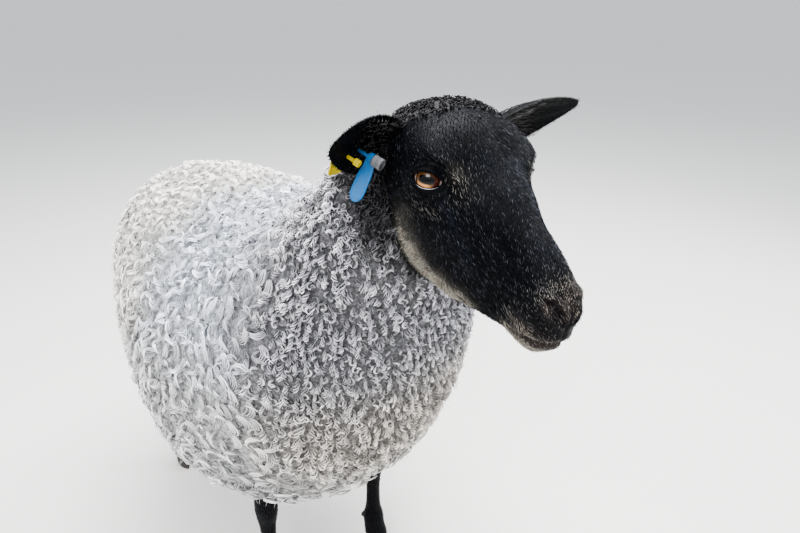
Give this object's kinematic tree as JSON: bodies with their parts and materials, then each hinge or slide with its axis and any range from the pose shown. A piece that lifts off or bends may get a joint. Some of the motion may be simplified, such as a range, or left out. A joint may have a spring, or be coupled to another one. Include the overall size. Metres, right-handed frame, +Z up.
{
  "type": "sheep",
  "caption": "Life-size standing ewe with a curly grey fleece, bare dark face and legs, and two soft tags in the right ear, as a still display model.",
  "frame": {"origin": "on the floor under the middle of the animal's bounding box, the soles of all the claws at z = 0", "axes": "+X forward from tail to nose, +Y to the animal's left, +Z up"},
  "size_m": [1.0946, 0.4742, 0.9099],
  "materials": {
    "fleece": "curly wool locks, silver grey to cream, soft and matt",
    "short_hair": "short flat black hair with fine grey strokes",
    "hoof_horn": "dull dark horn",
    "eye": "amber iris with a level dark pupil under a clear wet cornea",
    "tag_blue": "soft blue tag plastic",
    "tag_yellow": "soft yellow tag plastic",
    "tag_grey": "grey moulded plastic button"
  },
  "bodies": {
    "root": {"claw_fore_left_inner": "hoof_horn", "claw_fore_left_outer": "hoof_horn", "claw_fore_right_inner": "hoof_horn", "claw_fore_right_outer": "hoof_horn", "claw_hind_left_inner": "hoof_horn", "claw_hind_left_outer": "hoof_horn", "claw_hind_right_inner": "hoof_horn", "claw_hind_right_outer": "hoof_horn", "ear_left": "short_hair", "ear_right": "short_hair", "eye_left": "eye", "eye_right": "eye", "head": "short_hair", "leg_fore_left_lower": "short_hair", "leg_fore_left_upper": "short_hair", "leg_fore_right_lower": "short_hair", "leg_fore_right_upper": "short_hair", "leg_hind_left_lower": "short_hair", "leg_hind_left_upper": "short_hair", "leg_hind_right_lower": "short_hair", "leg_hind_right_upper": "short_hair", "neck": "fleece", "tag_blue_panel": "tag_blue", "tag_grey_button": "tag_grey", "tag_yellow_panel": "tag_yellow", "tag_yellow_pin": "tag_yellow", "tail": "fleece", "trunk": "fleece"}
  },
  "joints": []
}
